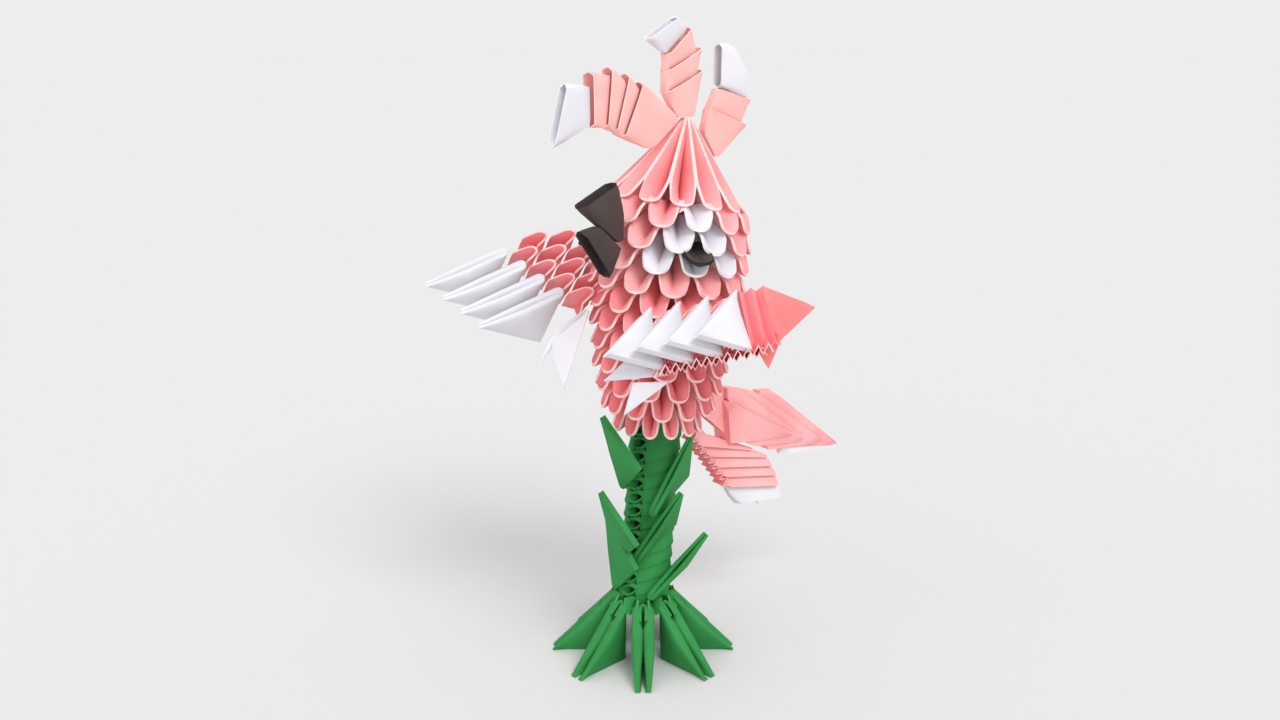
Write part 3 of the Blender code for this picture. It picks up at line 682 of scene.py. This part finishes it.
LEAVES = {
    "leaf_right_1": ((2.2, 7.8, 46.6), (12.9, 5.6, 68.2), (0.45, -0.9, -0.2)),
    "leaf_right_2": ((-3.0, 8, 31.8), (11.4, 8.6, 54.4), (0.45, -0.9, -0.2)),
    "leaf_right_3": ((1.6, 8, 20), (16.9, 5.2, 37.6), (0.35, -0.9, -0.2)),
    "leaf_left_1": ((-5.7, 1.4, 53), (-11.5, 9, 77), (0.56, 0.83, 0)),
    "leaf_left_2": ((-6.9, 2.6, 31), (-11.5, 10, 52), (0.56, 0.83, 0)),
    "leaf_left_2_lower": ((-8.2, 1.4, 20.5), (-10.3, 5, 44), (0.56, 0.83, 0)),
}
for name, (fold, tip, base) in LEAVES.items():
    builder = bmesh.new()
    matrix = unit_matrix(from_leg(*fold), from_leg(*tip) - from_leg(*fold), from_leg(*base))
    single_unit(builder, matrix, 1.5, 0.35, 0.8, 0.2, fold=1.2)
    finish_piece(name + "_unit", builder, "green", [name.removesuffix("_lower")])

for k in range(FOOT_COUNT):
    bearing = LEG_TURN + 2 * math.pi * k / FOOT_COUNT
    outward = Vector((math.sin(bearing), -math.cos(bearing), 0))
    builder = bmesh.new()
    top = outward * FOOT_RADIUS + Vector((0, 0, SPINE + FOOT_LIFT))
    matrix = unit_matrix(top, outward - Vector((0, 0, 1)), (0, 0, -1))
    single_unit(builder, matrix, 3.5, 0.15, 2.2, 1.4, fold=3.1, spine=1.3, open_end=True, cap=5.5)
    finish_piece(f"foot_{k + 1}_unit", builder, "green", [f"foot_{k + 1}"])


def foot_ring(unit, out, up):
    bearing = LEG_TURN + (unit + 0.5) * 2 * math.pi / FOOT_COUNT
    return Vector((math.sin(bearing) * out, -math.cos(bearing) * out, up + SOCKET_TOP))


builder = bmesh.new()
for unit in range(FOOT_COUNT):
    ring_unit(builder, foot_ring, unit, 10.8, math.radians(20), 4.6, rim=0.6, nose=0.4, stem=0.8,
              spread=4, drop=-1)
finish_piece("foot_pockets", builder, "green", ["leg_stem"])


# Floor, light and camera

FLOOR_HALF = 6
FLOOR_TONE = 0.69
BACKDROP = 0.85
GLOW = 0.8
KEY = ((-0.75, 0.1, -0.85), 1.55, 30)
FILL = ((-0.1, 0.9, -0.4), 0.45, 60)
CAMERA_BEARING = math.radians(52)
CAMERA_ELEVATION = math.radians(15.2)
CAMERA_PLACE = Vector((276.23, -216.96, 187.04))
CAMERA_LENS = 35.44


def add_floor():
    mesh = bpy.data.meshes.new("floor")
    corners = [(x * FLOOR_HALF, y * FLOOR_HALF, 0) for x, y in ((-1, -1), (1, -1), (1, 1), (-1, 1))]
    mesh.from_pydata(corners, [], [(0, 1, 2, 3)])
    material = bpy.data.materials.new("floor")
    material.use_nodes = True
    shader = material.node_tree.nodes["Principled BSDF"]
    shader.inputs["Base Color"].default_value = (FLOOR_TONE, FLOOR_TONE, FLOOR_TONE, 1)
    shader.inputs["Roughness"].default_value = 0.9
    mesh.materials.append(material)
    floor = bpy.data.objects.new("floor", mesh)
    bpy.context.scene.collection.objects.link(floor)


def add_world():
    world = bpy.data.worlds.new("studio")
    world.use_nodes = True
    tree = world.node_tree
    tree.nodes.clear()
    path = tree.nodes.new("ShaderNodeLightPath")
    seen = tree.nodes.new("ShaderNodeBackground")
    seen.inputs["Color"].default_value = (1, 1, 1, 1)
    seen.inputs["Strength"].default_value = BACKDROP
    glow = tree.nodes.new("ShaderNodeBackground")
    glow.inputs["Color"].default_value = (0.99, 0.99, 1, 1)
    glow.inputs["Strength"].default_value = GLOW
    mix = tree.nodes.new("ShaderNodeMixShader")
    out = tree.nodes.new("ShaderNodeOutputWorld")
    tree.links.new(path.outputs["Is Camera Ray"], mix.inputs["Fac"])
    tree.links.new(glow.outputs["Background"], mix.inputs[1])
    tree.links.new(seen.outputs["Background"], mix.inputs[2])
    tree.links.new(mix.outputs["Shader"], out.inputs["Surface"])
    bpy.context.scene.world = world


def add_light(name, towards, strength, spread):
    """A broad soft lamp that shines along a direction, evenly over the whole floor."""
    light = bpy.data.lights.new(name, "SUN")
    light.energy = strength
    light.angle = math.radians(spread)
    holder = bpy.data.objects.new(name, light)
    holder.rotation_euler = Vector(towards).to_track_quat("-Z", "Y").to_euler()
    bpy.context.scene.collection.objects.link(holder)


def add_camera():
    level = math.cos(CAMERA_ELEVATION)
    right = Vector((math.cos(CAMERA_BEARING), math.sin(CAMERA_BEARING), 0))
    back = Vector((math.sin(CAMERA_BEARING) * level, -math.cos(CAMERA_BEARING) * level,
                   math.sin(CAMERA_ELEVATION)))
    camera = bpy.data.objects.new("camera", bpy.data.cameras.new("camera"))
    turn = Matrix((right, back.cross(right), back)).transposed().to_4x4()
    camera.matrix_world = Matrix.Translation(CAMERA_PLACE * MM) @ turn
    camera.data.lens = CAMERA_LENS
    camera.data.sensor_width = 36
    camera.data.clip_start = 0.01
    bpy.context.scene.collection.objects.link(camera)
    bpy.context.scene.camera = camera


add_floor()
add_world()
add_light("key", *KEY)
add_light("fill", *FILL)
add_camera()
bpy.context.scene.view_settings.view_transform = "Standard"
